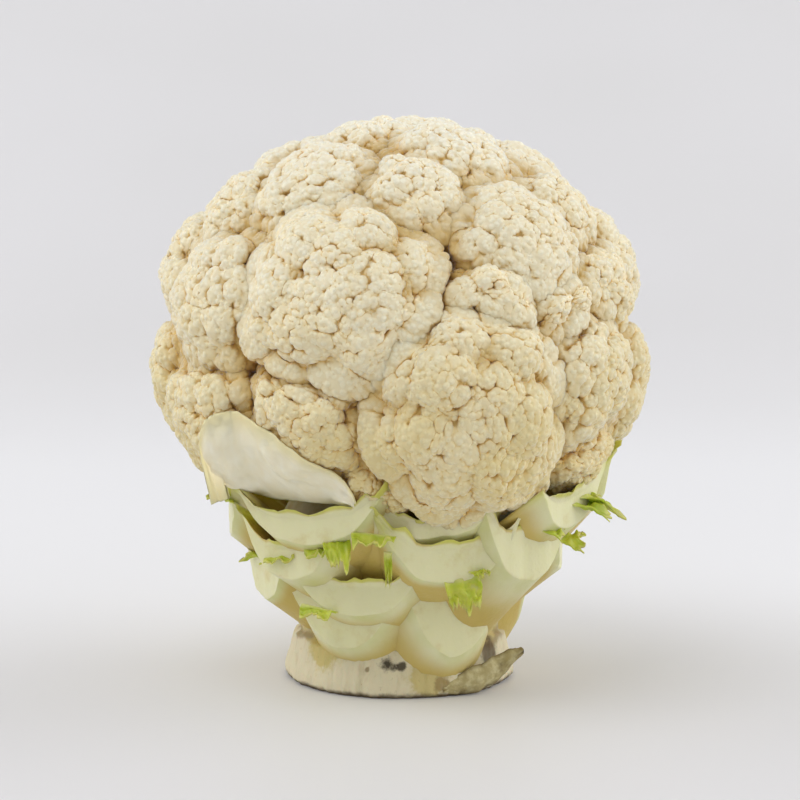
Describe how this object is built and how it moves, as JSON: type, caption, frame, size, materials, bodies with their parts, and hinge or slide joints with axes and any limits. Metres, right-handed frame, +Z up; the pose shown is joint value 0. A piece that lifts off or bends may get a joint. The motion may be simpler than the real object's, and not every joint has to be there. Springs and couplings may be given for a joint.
{
  "type": "cauliflower",
  "caption": "Trimmed cauliflower head: a domed cream curd of tight florets on a short cut stem, ringed by pale stubs of cut leaves, standing on its stem.",
  "frame": {"origin": "middle of the flat cut face under the stem, on the surface that the head stands on", "axes": "+Z up along the stem to the crown; -Y is the front, with the two largest florets; +X is to the right seen from the front"},
  "size_m": [0.1642, 0.1664, 0.185],
  "materials": {
    "curd": "matt cream curd of fine beads, warmer in the creases",
    "leaf": "waxy pale green-white leaf base with yellow-green blade edges",
    "inner_leaf": "thin, smooth, slightly glossy cream leaf remnant",
    "stem": "matt corky stump skin with spots and a dirty cut edge",
    "skin": "dry olive-tan peel"
  },
  "bodies": {
    "root": {"floret_back_crown": "curd", "floret_back_left_low": "curd", "floret_back_left_upper": "curd", "floret_back_low": "curd", "floret_back_middle": "curd", "floret_back_right_crown": "curd", "floret_back_right_low": "curd", "floret_back_right_upper": "curd", "floret_back_upper": "curd", "floret_crown_front": "curd", "floret_crown_left": "curd", "floret_crown_middle": "curd", "floret_crown_right": "curd", "floret_front_low_left": "curd", "floret_front_lower": "curd", "floret_front_small": "curd", "floret_front_underside": "curd", "floret_front_upper": "curd", "floret_left_back_crown": "curd", "floret_left_back_low": "curd", "floret_left_back_upper": "curd", "floret_left_front": "curd", "floret_left_low": "curd", "floret_left_side": "curd", "floret_left_side_upper": "curd", "floret_right_front": "curd", "floret_right_low": "curd", "floret_right_shoulder": "curd", "floret_right_side": "curd", "floret_right_side_upper": "curd", "floret_shoulder_left": "curd", "floret_shoulder_right": "curd", "floret_upper_right": "curd", "floret_upper_right_inset": "curd", "inner_leaf": "inner_leaf", "leaf_inner_front": "leaf", "leaf_lower_back_left": "leaf", "leaf_lower_back_right": "leaf", "leaf_lower_left": "leaf", "leaf_lower_right": "leaf", "leaf_middle_back_left": "leaf", "leaf_middle_back_right": "leaf", "leaf_middle_front": "leaf", "leaf_middle_left": "leaf", "leaf_middle_left_back": "leaf", "leaf_middle_left_side": "leaf", "leaf_middle_right": "leaf", "leaf_middle_right_side": "leaf", "leaf_upper_back": "leaf", "leaf_upper_back_left": "leaf", "leaf_upper_back_right": "leaf", "leaf_upper_front": "leaf", "leaf_upper_left": "leaf", "leaf_upper_left_side": "leaf", "leaf_upper_right": "leaf", "skin_sliver": "skin", "stem": "stem"}
  },
  "joints": []
}
